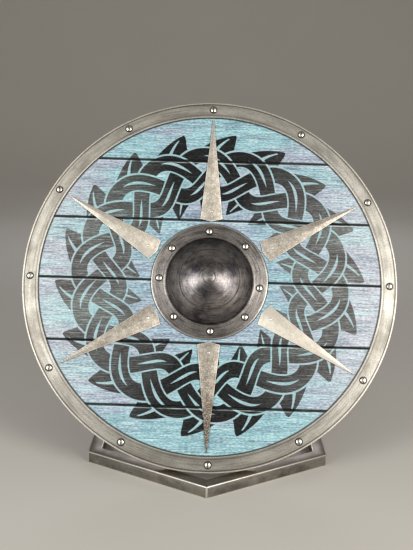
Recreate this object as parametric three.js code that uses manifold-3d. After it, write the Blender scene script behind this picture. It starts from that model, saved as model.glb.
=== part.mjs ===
// Round wooden shield on a welded steel display stand. Millimetres, +Z up.
//
// The origin is on the floor at the centre of the stand's hexagon, and the front of the shield
// looks along -Y. The shield is built flat in a group of its own: x across, y up the face, and
// z out of the front, with z = 0 on the front of the steel rim. The group is then leaned back,
// so every shield piece keeps simple round numbers.

import * as THREE from 'three';
import { mergeVertices } from 'three/addons/utils/BufferGeometryUtils.js';
import Module from 'manifold-3d';

const wasm = await Module();
wasm.setup();

// ---- driving dimensions ----------------------------------------------------------------------

const GAP = 0.3;                    // daylight between two pieces that touch

// shield as it stands
const SHIELD_RADIUS = 305;          // 24 inch radius, over the rim
const SHIELD_LEAN = 24;             // degrees back from upright
const SHIELD_TURN = -1;             // degrees in its own plane, clockwise seen from the front
const SHIELD_Y = -66.5;             // middle of the shield's front
const SHIELD_Z = 301.8;             // so that the rim comes down on the two front arms of the stand

// rim: a steel channel that wraps the edge of the planks
const RIM_SHEET = 2;
const RIM_BAND = 25;
const RIM_BEVEL = 0.8;
const RING_STEPS = 84;

// planks: six boards of 4 inches, edge to edge
const PLANK_COUNT = 6;
const PLANK_WIDTH = 101.6;
const PLANK_THICK = 16;
const PLANK_BEVEL = 1.9;            // each front arris, so that a joint is a V groove
const HAND_HOLE_RADIUS = 62;

// boss: a hollow dome with a flat flange, spun from one sheet
const BOSS_SHEET = 2;
const BOSS_FLANGE_RADIUS = 95;
const BOSS_DOME_RADIUS = 70.5;
const BOSS_DOME_HEIGHT = 36;        // above the front of the flange
const BOSS_GROOVE = 1;              // turned groove where the dome leaves the flange
const BOSS_STEPS = 48;

// spikes: six tapered plates laid on the boards, pointing out from the boss
const SPIKE_THICK = 2.5;
const SPIKE_BASE_WIDTH = 36.4;
const SPIKE_BASE_RADIUS = 103.7;    // shield centre to the corners of the base
const SPIKE_BASE_POINT = 4.3;       // how far the base comes to a point towards the boss
const SPIKE_LENGTH = 171;
const SPIKE_TIP_WIDTH = 1.2;
const SPIKE_SEAT = [90, 30, -30.5, -89, -146.5, 151.5];       // where each base was set, degrees
const SPIKE_AIM = [90.5, 28, -32, -89.5, -151, 149];          // which way each one points
const NAIL_UP_SPIKE = 13;           // base corners to the nail
const NAIL_HEAD_RADIUS = 1.9;
const NAIL_HEAD_HEIGHT = 0.8;
const NAIL_SHANK_RADIUS = 0.9;
const NAIL_LENGTH = 14;

// slotted round-head screws
const RIM_SCREW_CIRCLE = 292.5;
const RIM_SCREW_DRIFT = [0.4, 0, -1.6, 0, -1.5, 0.5, 1.2, 3.3, 0.5, 0, 0, -0.7];
const BOSS_SCREW_CIRCLE = 82.3;
const BOSS_SCREW_DRIFT = [1.9, 0.9, -6.6, 0.7, 2.6, 2, -1.8, 5.2];
const SCREW_HEAD_RADIUS = 5.4;
const SCREW_HEAD_HEIGHT = 2.8;
const SCREW_SHANK_RADIUS = 1.9;
const SCREW_LENGTH = 14;            // head seat to the point
const GRIP_SCREW_LENGTH = 29;       // these also pass through the batten
const SCREW_SLOT_WIDTH = 1.3;
const SCREW_SLOT_DEPTH = 1.5;
const HOLE_CLEARANCE = 0.3;

// grip: one upright batten down the back, across all six boards
const GRIP_WIDTH = 34;
const GRIP_THICK = 20;
const GRIP_HALF_LENGTH = 240;
const GRIP_BEVEL = 3;
const GRIP_SCREW_HEIGHTS = [-222, -152, -82, 82, 152, 222];

// stand: a regular hexagon of solid bar, two raking legs, a tie and two pads, all one weldment
const STAND_BAR_WIDTH = 22;
const STAND_BAR_HEIGHT = 20;
const STAND_RADIUS = 228;           // centre to an outer corner, so each side is 228 too
const STAND_BEVEL = 1;
const LEG_BAR = 14;
const LEG_FOOT_ANGLE = 60;          // the middle of each rear side of the hexagon
const PAD_X = 70;
const PAD_UP = 115;                 // shield centre to pad centre, up the back of the shield
const PAD_SIZE = 44;
const PAD_THICK = 4;
const TIE_SHARE = 0.45;             // how far up the legs the tie runs

// levels through the thickness of the shield, in its own group
const PLANK_FRONT = -RIM_SHEET - GAP;
const PLANK_BACK = PLANK_FRONT - PLANK_THICK;
const RIM_BACK = PLANK_BACK - GAP - RIM_SHEET;
const FITTING_BACK = -RIM_SHEET;                // the boss and the spikes lie on the boards
const WOOD_RADIUS = SHIELD_RADIUS - RIM_SHEET - GAP;
const GRIP_FRONT = PLANK_BACK - GAP;
const GRIP_BACK = GRIP_FRONT - GRIP_THICK;

const rad = THREE.MathUtils.degToRad;

// ---- materials -------------------------------------------------------------------------------

const paintedWood = new THREE.MeshStandardMaterial({ color: '#8fabb5', roughness: 0.45, metalness: 0 });
const plainWood = new THREE.MeshStandardMaterial({ color: '#8a6b4a', roughness: 0.7, metalness: 0 });
const rimSteel = new THREE.MeshStandardMaterial({ color: '#a39b90', roughness: 0.42, metalness: 1 });
const bossSteel = new THREE.MeshStandardMaterial({ color: '#5f5a5a', roughness: 0.38, metalness: 1 });
const spikeSteel = new THREE.MeshStandardMaterial({ color: '#b9a68f', roughness: 0.5, metalness: 1 });
const screwSteel = new THREE.MeshStandardMaterial({ color: '#d6d2c8', roughness: 0.25, metalness: 1 });
const standSteel = new THREE.MeshStandardMaterial({ color: '#55524e', roughness: 0.5, metalness: 1 });

// ---- helpers ---------------------------------------------------------------------------------

// A closed three.js geometry as a solid that can be cut and joined, with its faces turned out.
function solid(geometry) {
  const bare = geometry.index ? geometry.toNonIndexed() : geometry.clone();
  bare.deleteAttribute('normal');
  bare.deleteAttribute('uv');
  const merged = mergeVertices(bare, 1e-4);
  const corners = merged.attributes.position.array;
  const faces = [];
  let volume = 0;
  const a = new THREE.Vector3();
  const b = new THREE.Vector3();
  const c = new THREE.Vector3();
  for (let i = 0; i < merged.index.count; i += 3) {
    const [p, q, r] = [0, 1, 2].map((k) => merged.index.getX(i + k));
    if (p === q || q === r || r === p) continue;
    a.fromArray(corners, 3 * p);
    b.fromArray(corners, 3 * q);
    c.fromArray(corners, 3 * r);
    volume += a.dot(b.cross(c)) / 6;
    faces.push([p, q, r]);
  }
  const triVerts = new Uint32Array(faces.flatMap(([p, q, r]) => (volume > 0 ? [p, q, r] : [p, r, q])));
  const vertProperties = new Float32Array(corners);
  return new wasm.Manifold(new wasm.Mesh({ numProp: 3, vertProperties, triVerts }));
}

// The finished solid as a three.js geometry.
function geometryOf(body) {
  const mesh = body.getMesh();
  const geometry = new THREE.BufferGeometry();
  geometry.setAttribute('position', new THREE.BufferAttribute(new Float32Array(mesh.vertProperties), 3));
  geometry.setIndex(new THREE.BufferAttribute(new Uint32Array(mesh.triVerts), 1));
  return geometry;
}

// A flat outline pushed along z from z0 to z1.
function plate(outline, z0, z1) {
  const shape = new THREE.Shape(outline.map(([x, y]) => new THREE.Vector2(x, y)));
  const geometry = new THREE.ExtrudeGeometry(shape, { depth: z1 - z0, bevelEnabled: false });
  return geometry.translate(0, 0, z0);
}

// A profile of [radius, z] points turned round the z axis.
function turned(profile, steps) {
  const points = profile.map(([r, z]) => new THREE.Vector2(r, z));
  return new THREE.LatheGeometry(points, steps).rotateX(Math.PI / 2);
}

// A round bar along z.
function round(radius, z0, z1, sides) {
  const geometry = new THREE.CylinderGeometry(radius, radius, z1 - z0, sides);
  return geometry.rotateX(Math.PI / 2).translate(0, 0, (z0 + z1) / 2);
}

// A square bar from one point to another.
function squareBar(from, to, side) {
  const along = new THREE.Vector3().subVectors(to, from);
  const geometry = new THREE.BoxGeometry(side, side, along.length());
  const turn = new THREE.Matrix4().lookAt(to, from, new THREE.Vector3(0, -1, 0));
  const middle = new THREE.Vector3().addVectors(from, to).multiplyScalar(0.5);
  return geometry.applyMatrix4(turn).translate(middle.x, middle.y, middle.z);
}

function polar(radius, degrees) {
  return [radius * Math.cos(rad(degrees)), radius * Math.sin(rad(degrees))];
}

// ---- fasteners -------------------------------------------------------------------------------

// A round-head screw: head seat at z = 0, shank down to -length, slot along x.
function screwGeometry(length) {
  const rise = SCREW_HEAD_HEIGHT;
  const profile = [
    [0, -length],
    [SCREW_SHANK_RADIUS, -length + 3],
    [SCREW_SHANK_RADIUS, 0],
    [SCREW_HEAD_RADIUS, 0],
    [SCREW_HEAD_RADIUS * 0.76, rise * 0.65],
    [0, rise],
  ];
  const slot = new THREE.BoxGeometry(3 * SCREW_HEAD_RADIUS, SCREW_SLOT_WIDTH, 2 * SCREW_SLOT_DEPTH);
  return geometryOf(solid(turned(profile, 10)).subtract(solid(slot.translate(0, 0, rise))));
}

function nailGeometry() {
  const profile = [
    [0, -NAIL_LENGTH],
    [NAIL_SHANK_RADIUS, -NAIL_LENGTH + 2],
    [NAIL_SHANK_RADIUS, 0],
    [NAIL_HEAD_RADIUS, 0],
    [NAIL_HEAD_RADIUS * 0.8, NAIL_HEAD_HEIGHT * 0.7],
    [0, NAIL_HEAD_HEIGHT],
  ];
  return geometryOf(solid(turned(profile, 6)));
}

// Where every fastener sits: its name, place, seat level, and which way its slot lies.
const rimScrews = RIM_SCREW_DRIFT.map((drift, i) => {
  const angle = 90 - (360 / RIM_SCREW_DRIFT.length) * i + drift;
  const at = polar(RIM_SCREW_CIRCLE, angle);
  return { name: `rim_screw_${i + 1}`, at, seat: GAP, slot: 88 + 3 * (i % 4) };
});
const bossScrews = BOSS_SCREW_DRIFT.map((drift, i) => {
  const angle = 90 - (360 / BOSS_SCREW_DRIFT.length) * i + drift;
  const at = polar(BOSS_SCREW_CIRCLE, angle);
  return { name: `boss_screw_${i + 1}`, at, seat: GAP, slot: 82 + 7 * (i % 3) };
});
const gripScrews = GRIP_SCREW_HEIGHTS.map((height, i) => {
  return { name: `grip_screw_${i + 1}`, at: [0, height], seat: GRIP_BACK - GAP, slot: 15 * i };
});
const spikes = SPIKE_SEAT.map((seat, i) => {
  const base = polar(SPIKE_BASE_RADIUS, seat);
  const up = polar(NAIL_UP_SPIKE, SPIKE_AIM[i]);
  return { name: `spike_${i + 1}`, base, aim: SPIKE_AIM[i], nail: [base[0] + up[0], base[1] + up[1]] };
});

// The holes that the fasteners need: one bar for each, a little fatter than the shank.
function holesFor(places, radius, z0, z1) {
  const bars = places.map(([x, y]) => solid(round(radius + HOLE_CLEARANCE, z0, z1, 6).translate(x, y, 0)));
  return bars.reduce((all, bar) => all.add(bar));
}

const screwPlaces = [...rimScrews, ...bossScrews].map((screw) => screw.at);
const nailPlaces = spikes.map((spike) => spike.nail);
const frontHoles = holesFor(screwPlaces, SCREW_SHANK_RADIUS, PLANK_BACK + 3, 20);
const nailHoles = holesFor(nailPlaces, NAIL_SHANK_RADIUS, PLANK_BACK + 1.5, 20);
const gripPlaces = gripScrews.map((screw) => screw.at);
const gripTip = GRIP_BACK - GAP + GRIP_SCREW_LENGTH;
const gripHoles = holesFor(gripPlaces, SCREW_SHANK_RADIUS, GRIP_BACK - 5, gripTip + 0.5);

// ---- shield ----------------------------------------------------------------------------------

const shield = new THREE.Group();
shield.position.set(0, SHIELD_Y, SHIELD_Z);
shield.rotation.set(rad(90 - SHIELD_LEAN), 0, rad(SHIELD_TURN));
shield.updateMatrix();

function addPart(group, name, geometry, material, place = [0, 0, 0], turn = [0, 0, 0]) {
  const mesh = new THREE.Mesh(geometry, material);
  mesh.name = name;
  mesh.position.set(...place);
  mesh.rotation.set(...turn);
  group.add(mesh);
  return mesh;
}

// planks, numbered from the top: a bevelled board cut to the round, with its holes
const woodDisc = solid(round(WOOD_RADIUS, PLANK_BACK - 1, PLANK_FRONT + 1, RING_STEPS));
const handHole = solid(round(HAND_HOLE_RADIUS, PLANK_BACK - 2, PLANK_FRONT + 2, 40));
const alongX = new THREE.Matrix4().makeBasis(
  new THREE.Vector3(0, 1, 0),
  new THREE.Vector3(0, 0, 1),
  new THREE.Vector3(1, 0, 0),
);
for (let i = 0; i < PLANK_COUNT; i += 1) {
  const top = PLANK_WIDTH * (PLANK_COUNT / 2 - i) - GAP / 2;
  const bottom = PLANK_WIDTH * (PLANK_COUNT / 2 - i - 1) + GAP / 2;
  const section = [
    [bottom, PLANK_BACK],
    [top, PLANK_BACK],
    [top, PLANK_FRONT - PLANK_BEVEL],
    [top - PLANK_BEVEL, PLANK_FRONT],
    [bottom + PLANK_BEVEL, PLANK_FRONT],
    [bottom, PLANK_FRONT - PLANK_BEVEL],
  ];
  const board = solid(plate(section, -SHIELD_RADIUS, SHIELD_RADIUS).applyMatrix4(alongX));
  const cut = board.intersect(woodDisc).subtract(handHole);
  const drilled = cut.subtract(frontHoles).subtract(nailHoles).subtract(gripHoles);
  addPart(shield, `plank_${i + 1}`, geometryOf(drilled), paintedWood);
}

// rim: the channel's section, from the front band round the edge to the back band
const rimInner = SHIELD_RADIUS - RIM_BAND;
const rimSection = [
  [rimInner, -RIM_SHEET],
  [rimInner, -RIM_BEVEL],
  [rimInner + RIM_BEVEL, 0],
  [SHIELD_RADIUS - RIM_BEVEL, 0],
  [SHIELD_RADIUS, -RIM_BEVEL],
  [SHIELD_RADIUS, RIM_BACK + RIM_BEVEL],
  [SHIELD_RADIUS - RIM_BEVEL, RIM_BACK],
  [rimInner, RIM_BACK],
  [rimInner, RIM_BACK + RIM_SHEET],
  [SHIELD_RADIUS - RIM_SHEET, RIM_BACK + RIM_SHEET],
  [SHIELD_RADIUS - RIM_SHEET, -RIM_SHEET],
  [rimInner, -RIM_SHEET],
];
const rim = solid(turned(rimSection, RING_STEPS)).subtract(frontHoles);
addPart(shield, 'rim', geometryOf(rim), rimSteel);

// boss: the outside of the dome, the flange, and the same dome again one sheet further in
function domeCurve(radius, height, count) {
  const sphere = (radius * radius + height * height) / (2 * height);
  return Array.from({ length: count + 1 }, (_, k) => {
    const r = radius * Math.sin((Math.PI / 2) * (k / count) ** 0.8);
    return [r, Math.sqrt(sphere * sphere - r * r) - (sphere - height)];
  });
}
const outside = domeCurve(BOSS_DOME_RADIUS, BOSS_DOME_HEIGHT, 8);
outside[0][0] = 0;
const inside = domeCurve(BOSS_DOME_RADIUS - BOSS_SHEET, BOSS_DOME_HEIGHT, 5).reverse();
const bossSection = [
  ...outside.slice(0, -1),
  [BOSS_DOME_RADIUS, -BOSS_GROOVE],
  [BOSS_DOME_RADIUS + BOSS_GROOVE, 0],
  [BOSS_FLANGE_RADIUS - 0.7, 0],
  [BOSS_FLANGE_RADIUS, -0.7],
  [BOSS_FLANGE_RADIUS, -BOSS_SHEET],
  ...inside.map(([r, z]) => [r, z - BOSS_SHEET]),
];
bossSection[bossSection.length - 1][0] = 0;
const boss = solid(turned(bossSection, BOSS_STEPS)).subtract(frontHoles);
addPart(shield, 'boss', geometryOf(boss), bossSteel);

// spikes: the plate is drawn from the middle of its base corners, pointing along +y
const spikeOutline = [
  [-SPIKE_BASE_WIDTH / 2, 0],
  [0, -SPIKE_BASE_POINT],
  [SPIKE_BASE_WIDTH / 2, 0],
  [SPIKE_TIP_WIDTH / 2, SPIKE_LENGTH - 1],
  [0, SPIKE_LENGTH],
  [-SPIKE_TIP_WIDTH / 2, SPIKE_LENGTH - 1],
];
const nailBore = solid(round(NAIL_SHANK_RADIUS + HOLE_CLEARANCE, -5, 5, 6).translate(0, NAIL_UP_SPIKE, 0));
const spikePlate = solid(plate(spikeOutline, 0, SPIKE_THICK)).subtract(nailBore);
const spikeFront = FITTING_BACK + SPIKE_THICK;
for (const { name, base, aim, nail } of spikes) {
  const index = name.split('_')[1];
  addPart(shield, name, geometryOf(spikePlate), spikeSteel, [...base, FITTING_BACK], [0, 0, rad(aim - 90)]);
  addPart(shield, `spike_nail_${index}`, nailGeometry(), screwSteel, [...nail, spikeFront + GAP]);
}

// grip batten, bevelled along its back arrises
const gripHalf = GRIP_WIDTH / 2;
const gripSection = [
  [-gripHalf, GRIP_FRONT],
  [-gripHalf, GRIP_BACK + GRIP_BEVEL],
  [-gripHalf + GRIP_BEVEL, GRIP_BACK],
  [gripHalf - GRIP_BEVEL, GRIP_BACK],
  [gripHalf, GRIP_BACK + GRIP_BEVEL],
  [gripHalf, GRIP_FRONT],
];
const alongY = new THREE.Matrix4().makeBasis(
  new THREE.Vector3(-1, 0, 0),
  new THREE.Vector3(0, 0, 1),
  new THREE.Vector3(0, 1, 0),
);
const batten = solid(plate(gripSection, -GRIP_HALF_LENGTH, GRIP_HALF_LENGTH).applyMatrix4(alongY));
addPart(shield, 'grip_batten', geometryOf(batten.subtract(gripHoles)), plainWood);

// screws: those of the grip point the other way, in from the back, and are longer
for (const { name, at, seat, slot } of [...rimScrews, ...bossScrews]) {
  addPart(shield, name, screwGeometry(SCREW_LENGTH), screwSteel, [...at, seat], [0, 0, rad(slot)]);
}
for (const { name, at, seat, slot } of gripScrews) {
  const geometry = screwGeometry(GRIP_SCREW_LENGTH);
  addPart(shield, name, geometry, screwSteel, [...at, seat], [Math.PI, 0, rad(slot)]);
}

// ---- stand -----------------------------------------------------------------------------------

// the hexagon, one corner to the front, with its arrises eased
const hexagon = (radius) => Array.from({ length: 6 }, (_, k) => polar(radius, 60 * k - 90));
const innerRadius = STAND_RADIUS - STAND_BAR_WIDTH / Math.cos(rad(30));
const ringShape = new THREE.Shape(hexagon(STAND_RADIUS).map(([x, y]) => new THREE.Vector2(x, y)));
const ringHole = hexagon(innerRadius).reverse();
ringShape.holes.push(new THREE.Path(ringHole.map(([x, y]) => new THREE.Vector2(x, y))));
const ring = new THREE.ExtrudeGeometry(ringShape, {
  depth: STAND_BAR_HEIGHT - 2 * STAND_BEVEL,
  bevelEnabled: true,
  bevelThickness: STAND_BEVEL,
  bevelSize: STAND_BEVEL,
  bevelOffset: -STAND_BEVEL,
  bevelSegments: 1,
});
ring.translate(0, 0, STAND_BEVEL);

// pads and legs: the pads lie flat against the back of the boards, square to the lean
const lean = new THREE.Matrix4().makeRotationX(rad(90 - SHIELD_LEAN)).setPosition(0, SHIELD_Y, SHIELD_Z);
const padFront = PLANK_BACK - GAP;
let frame = solid(ring);
const legAxes = [];
for (const side of [-1, 1]) {
  const footAngle = 90 - side * (90 - LEG_FOOT_ANGLE);
  const apothem = STAND_RADIUS * Math.cos(rad(30)) - STAND_BAR_WIDTH / 2;
  const foot = new THREE.Vector3(...polar(apothem, footAngle), STAND_BAR_HEIGHT * 0.6);
  const head = new THREE.Vector3(side * PAD_X, PAD_UP, padFront).applyMatrix4(lean);
  const pad = new THREE.BoxGeometry(PAD_SIZE, PAD_SIZE, PAD_THICK);
  pad.translate(side * PAD_X, PAD_UP, padFront - PAD_THICK / 2).applyMatrix4(lean);
  frame = frame.add(solid(squareBar(foot, head, LEG_BAR))).add(solid(pad));
  legAxes.push([foot, head]);
}
const [tieLeft, tieRight] = legAxes.map(([foot, head]) => foot.clone().lerp(head, TIE_SHARE));
frame = frame.add(solid(squareBar(tieLeft, tieRight, LEG_BAR)));

// nothing of the stand comes past the face of the pads
const shieldSpace = new THREE.BoxGeometry(2 * SHIELD_RADIUS, 400, 100);
shieldSpace.translate(0, PAD_UP, padFront + 50).applyMatrix4(lean);
const standBody = frame.subtract(solid(shieldSpace));

// ---- the whole -------------------------------------------------------------------------------

const group = new THREE.Group();
group.add(shield);
addPart(group, 'stand', geometryOf(standBody), standSteel);

export default group;
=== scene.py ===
# %% [markdown]
# # A round wooden shield on its steel stand
# Six stained boards are held in a steel rim, with a spun steel boss in the middle, six flat steel
# spikes round it and slotted screws through everything. The shield leans back on a welded hexagon
# of steel bar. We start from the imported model, which gives every size and place.

# %% Load the frame
from functools import partial
from math import cos, degrees, exp, pi, radians, sin, sqrt

import bmesh
import bpy
from mathutils import Matrix, Vector, noise


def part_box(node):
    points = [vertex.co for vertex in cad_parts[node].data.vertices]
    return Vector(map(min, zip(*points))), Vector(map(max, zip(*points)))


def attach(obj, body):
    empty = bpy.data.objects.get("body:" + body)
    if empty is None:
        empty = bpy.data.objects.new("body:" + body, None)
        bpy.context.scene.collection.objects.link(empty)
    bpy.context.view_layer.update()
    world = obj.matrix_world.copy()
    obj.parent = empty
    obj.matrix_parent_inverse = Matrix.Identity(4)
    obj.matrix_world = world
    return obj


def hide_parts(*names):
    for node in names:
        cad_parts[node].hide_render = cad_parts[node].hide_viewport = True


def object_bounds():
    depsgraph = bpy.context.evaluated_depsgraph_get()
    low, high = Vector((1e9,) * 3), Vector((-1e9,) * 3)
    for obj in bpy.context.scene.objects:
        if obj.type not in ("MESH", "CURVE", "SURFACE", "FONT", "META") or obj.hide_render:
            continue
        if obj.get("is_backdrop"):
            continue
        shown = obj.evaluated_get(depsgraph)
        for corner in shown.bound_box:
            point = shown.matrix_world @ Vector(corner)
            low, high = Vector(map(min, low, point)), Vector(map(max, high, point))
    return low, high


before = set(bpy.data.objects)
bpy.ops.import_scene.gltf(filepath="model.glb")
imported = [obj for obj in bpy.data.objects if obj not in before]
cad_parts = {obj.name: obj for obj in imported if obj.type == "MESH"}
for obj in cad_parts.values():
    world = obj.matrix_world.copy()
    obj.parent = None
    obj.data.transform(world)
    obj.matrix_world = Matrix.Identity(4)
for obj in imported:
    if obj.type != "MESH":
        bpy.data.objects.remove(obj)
cad_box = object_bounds()
print("packed model:", len(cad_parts), "nodes, box", cad_box)

# %% [markdown]
# ## Where the camera stands
# The shield is seen from the front and a little above, as by a person who bends to a table. A long
# lens keeps the circle round. We write the camera's three axes from its pitch, yaw and roll,
# which is easier to read than three Euler angles in the right order.

# %% Camera
MM = 0.001


def put_in_scene(name, data):
    """A new object in the scene."""
    thing = bpy.data.objects.new(name, data)
    bpy.context.scene.collection.objects.link(thing)
    return thing


camera_place = Vector((2.4, -1342.1, 633.3)) * MM
pitch, yaw, roll = [radians(angle) for angle in (14.15, -0.33, 0.68)]
ahead = Vector((sin(yaw) * cos(pitch), cos(yaw) * cos(pitch), -sin(pitch)))
level = Vector((cos(yaw), -sin(yaw), 0))
right = cos(roll) * level + sin(roll) * level.cross(ahead)
upward = right.cross(ahead)

camera_data = bpy.data.cameras.new("camera")
camera_data.lens = 53.03
camera_data.clip_start = 0.05
camera = put_in_scene("camera", camera_data)
axes = Matrix((right, upward, -ahead)).transposed().to_4x4()
camera.matrix_world = Matrix.Translation(camera_place) @ axes
bpy.context.scene.camera = camera
print("camera looks along", tuple(round(c, 3) for c in ahead))

# %% [markdown]
# ## One helper for nodes, one for colour
# A finish in Blender is a graph of nodes. One small function adds them all. It takes the kind of
# node, with its main setting after a space, and its inputs in order: a number, a colour, or
# another node's output. Colours are written in hex, as the eye sees them, and turned to linear
# light once. Every finish here finds its place on the piece and ends with relief and shader.

# %% Node and colour helpers
MAIN_SETTING = {"Math": "operation", "VectorMath": "operation", "Mix": "data_type",
                "MapRange": "interpolation_type"}
IN_MM = (1000,) * 3
IN_MM_FLAT = (1000, 1000, 0)


def linear(hex_colour):
    """A hex colour as linear red, green, blue and 1."""
    parts = [int(hex_colour[i:i + 2], 16) / 255 for i in (1, 3, 5)]
    return tuple(c / 12.92 if c <= 0.04045 else ((c + 0.055) / 1.055) ** 2.4 for c in parts) + (1.0,)


def add_node(tree, kind, *inputs, out=0, links=None, **settings):
    """Adds one node with its settings and links, and returns one of its outputs."""
    kind, _, choice = kind.partition(" ")
    if choice:
        settings[MAIN_SETTING[kind]] = choice
    node = tree.nodes.new("ShaderNode" + kind)
    for name, value in settings.items():
        setattr(node, name, value)
    sockets = [s for s in node.inputs if s.enabled]
    pairs = list(zip(sockets, inputs)) + [(node.inputs[n], v) for n, v in (links or {}).items()]
    for socket, value in pairs:
        if isinstance(value, bpy.types.NodeSocket):
            tree.links.new(value, socket)
        else:
            socket.default_value = linear(value) if isinstance(value, str) else value
    outputs = [s for s in node.outputs if s.enabled]
    return node.outputs[out] if isinstance(out, str) else outputs[out] if outputs else node


def new_finish(name):
    """An empty material, and a function that adds nodes to it."""
    material = bpy.data.materials.new(name)
    material.use_nodes = True
    material.node_tree.nodes.clear()
    return material, partial(add_node, material.node_tree)


def on_piece(add, scale=IN_MM):
    """Where we are on the piece, from its own middle, in millimetres."""
    return add("VectorMath MULTIPLY", add("TexCoord", out="Object"), scale)


def end_finish(material, add, colour, roughness, height, strength, depth, **shine):
    """Ends a finish with its relief, of a depth in millimetres, and the shader with its shine."""
    relief = add("Bump", links={"Strength": strength, "Distance": depth * 0.001, "Height": height})
    surface = {"Base Color": colour, "Roughness": roughness, "Normal": relief}
    surface.update((name.replace("_", " "), value) for name, value in shine.items())
    add("OutputMaterial", add("BsdfPrincipled", links=surface))
    print(material.name, "has", len(material.node_tree.nodes), "nodes")


print("mid grey #808080 in linear light:", round(linear("#808080")[0], 3))

# %% [markdown]
# ## Floor and light
# The room is plain: a pale matt floor that sweeps up behind, and soft boxes left and right of the
# camera. Spun and brushed steel shows only what it mirrors, so those boxes make the bright left and
# right of the rim and two soft glows on the boss, and the dim room above makes their dark top. A
# weak third box behind keeps the back readable.

# %% Floor that sweeps up behind
FLOOR_HALF_WIDTH, FLOOR_FRONT, SWEEP_START, SWEEP_RADIUS = 14.0, -14.0, 2.2, 1.5
sweep = [(FLOOR_FRONT, 0.0), (SWEEP_START, 0.0)]
for i in range(1, 25):
    turn = radians(90 * i / 24)
    sweep.append((SWEEP_START + SWEEP_RADIUS * sin(turn), SWEEP_RADIUS * (1 - cos(turn))))
sweep.append((SWEEP_START + SWEEP_RADIUS, 9.0))
floor_mesh = bpy.data.meshes.new("floor")
floor_points = [(x, y, z) for y, z in sweep for x in (-FLOOR_HALF_WIDTH, FLOOR_HALF_WIDTH)]
floor_quads = [(2 * i, 2 * i + 1, 2 * i + 3, 2 * i + 2) for i in range(len(sweep) - 1)]
floor_mesh.from_pydata(floor_points, [], floor_quads)
floor_mesh.polygons.foreach_set("use_smooth", [True] * len(floor_quads))
floor = put_in_scene("floor", floor_mesh)

matt_paper, add = new_finish("matt_paper")
paper_tone = add("TexNoise", add("TexCoord", out="Object"), 3, 3)
paper_colour = add("Mix RGBA", paper_tone, "#b5b2ac", "#bab7b1")
paper = add("BsdfPrincipled", links={"Base Color": paper_colour, "Roughness": 0.9})
add("OutputMaterial", paper)
floor_mesh.materials.append(matt_paper)
floor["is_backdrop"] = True
print("floor sweep has", len(floor_quads), "strips")

# %% Soft boxes
LIT_POINT = Vector((0, -0.07, 0.3))


def soft_box(name, azimuth, elevation, distance, width, height, watts, warmth):
    """A rectangular soft light that faces the shield, azimuth measured right of the front."""
    a, e = radians(azimuth), radians(elevation)
    way = Vector((sin(a) * cos(e), -cos(a) * cos(e), sin(e)))
    data = bpy.data.lights.new(name, "AREA")
    data.shape, data.size, data.size_y = "RECTANGLE", width, height
    data.energy, data.color = watts, linear(warmth)[:3]
    light = put_in_scene(name, data)
    light.location = LIT_POINT + distance * way
    light.rotation_euler = way.to_track_quat("Z", "Y").to_euler()
    light.visible_camera = False
    print(name, "stands", round(distance, 2), "m away and gives", watts, "W")


soft_box("soft_left", -40, 19, 1.9, 0.7, 1.1, 25, "#fafaf8")
soft_box("soft_right", 38, 20, 1.9, 0.7, 1.1, 32, "#fdf9f3")
soft_box("soft_back", 178, 24, 2.4, 1.6, 0.8, 11, "#f6f6ff")

world = bpy.data.worlds.new("dim_room")
world.use_nodes = True
room = world.node_tree.nodes["Background"]
room.inputs["Color"].default_value = linear("#b9b6b0")
room.inputs["Strength"].default_value = 0.62
bpy.context.scene.world = world
bpy.context.scene.view_settings.view_transform = "Standard"

# %% [markdown]
# ## From numbers to meshes
# Every piece of the shield is built flat, in millimetres: x across, y up the face, z out of the
# front, with z = 0 on the face of the rim. One function joins a row of rings into a skin, for
# boards, turned steel and bars alike. The shield hangs one degree out of true, so each mesh is
# turned by that much in its own plane, and one matrix then leans the piece back.

# %% Mesh helpers
SHIELD_LEAN, SHIELD_TURN = radians(24), radians(-1)
in_plane_turn = Matrix.Rotation(SHIELD_TURN, 4, "Z")
shield_at = Vector((0, -66.5, 301.8))
lean_back = Matrix.Rotation(pi / 2 - SHIELD_LEAN, 4, "X")
leaned = Matrix.Translation(shield_at * MM) @ lean_back


def join_rings(mesh, rings, loop=False, caps=False):
    """Faces from each ring of corners to the next. loop joins the last ring to the first."""
    for near, far in zip(rings, rings[1:] + (rings[:1] if loop else [])):
        for quad in zip(near, near[1:] + near[:1], far[1:] + far[:1], far):
            mesh.faces.new(quad)
    if caps:
        mesh.faces.new(list(reversed(rings[0])))
        mesh.faces.new(rings[-1])


def skin(name, rings, loop=False, caps=False):
    """A mesh from rings of points in millimetres."""
    mesh = bmesh.new()
    join_rings(mesh, [[mesh.verts.new(Vector(p) * MM) for p in ring] for ring in rings], loop, caps)
    bmesh.ops.remove_doubles(mesh, verts=mesh.verts, dist=2e-6)
    return finish_mesh(name, mesh)


def finish_mesh(name, mesh, sharp=32):
    """Turns a bmesh into mesh data, smooth but for edges sharper than so many degrees."""
    bmesh.ops.recalc_face_normals(mesh, faces=mesh.faces)
    data = bpy.data.meshes.new(name)
    mesh.to_mesh(data)
    mesh.free()
    data.polygons.foreach_set("use_smooth", [True] * len(data.polygons))
    data.set_sharp_from_angle(angle=radians(sharp))
    return data


def turned(name, profile, steps, closed=True):
    """A profile of (radius, z) points turned round z, as on a lathe."""
    circle = [(cos(2 * pi * k / steps), sin(2 * pi * k / steps)) for k in range(steps)]
    return skin(name, [[(r * c, r * s, z) for c, s in circle] for r, z in profile], loop=closed)


def put_piece(name, data, place, slot, *nodes):
    """Puts a piece in its place, on the body, in the stead of its CAD nodes."""
    piece = put_in_scene(name, data)
    piece.matrix_world = place
    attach(piece, "root")
    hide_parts(*nodes)


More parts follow.
